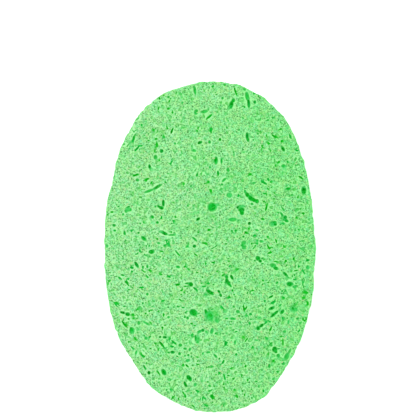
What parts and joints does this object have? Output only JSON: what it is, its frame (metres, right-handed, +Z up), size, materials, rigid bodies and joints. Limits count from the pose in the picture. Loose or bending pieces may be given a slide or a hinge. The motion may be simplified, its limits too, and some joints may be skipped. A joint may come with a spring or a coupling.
{
  "type": "cellulose bath sponge",
  "caption": "Oval die-cut block of open-pored cellulose foam held together by embedded plant fibres, for washing in the bath or shower.",
  "frame": {"origin": "middle of the bottom of the block's box, with the block lying flat on its lower cut face", "axes": "+Z up through the thickness; +Y along the length towards the blunter end; +X to the right as seen from above with the blunter end up"},
  "size_m": [0.0898, 0.141, 0.036],
  "materials": {
    "cellulose_foam": "matt, open-pored, dyed through",
    "plant_fibre": "matt undyed fibre"
  },
  "bodies": {
    "root": {"foam_body": "cellulose_foam", "fibre_strand_01": "plant_fibre", "fibre_strand_02": "plant_fibre", "fibre_strand_03": "plant_fibre", "fibre_strand_04": "plant_fibre", "fibre_strand_05": "plant_fibre", "fibre_strand_06": "plant_fibre", "fibre_strand_07": "plant_fibre", "fibre_strand_08": "plant_fibre", "fibre_strand_09": "plant_fibre", "fibre_strand_10": "plant_fibre", "fibre_strand_11": "plant_fibre", "fibre_strand_12": "plant_fibre"}
  },
  "joints": []
}
